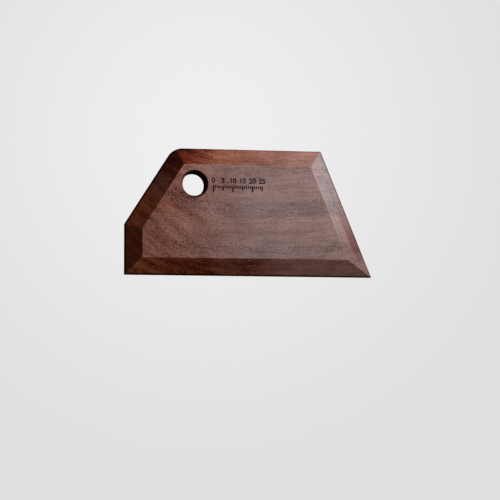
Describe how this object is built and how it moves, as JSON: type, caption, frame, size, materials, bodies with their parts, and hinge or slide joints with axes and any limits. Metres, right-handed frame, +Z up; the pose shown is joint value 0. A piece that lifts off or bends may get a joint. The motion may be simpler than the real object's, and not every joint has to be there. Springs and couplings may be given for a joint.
{
  "type": "hand scraper",
  "caption": "Flat walnut hand scraper with a slanted end, a raked end, bevels on both faces, a softly rounded rim and a round hole to hang it by.",
  "frame": {"origin": "middle of the long working edge, halfway through the thickness, at the lowest line of its rounded rim", "axes": "+X along the long working edge towards the raked end, +Y through the thickness from the front face to the back face, +Z up from the working edge to the top edge"},
  "size_m": [0.127, 0.0094, 0.0645],
  "materials": {
    "walnut": "oiled black walnut, satin"
  },
  "bodies": {
    "root": {"scraper_body": "walnut"}
  },
  "joints": []
}
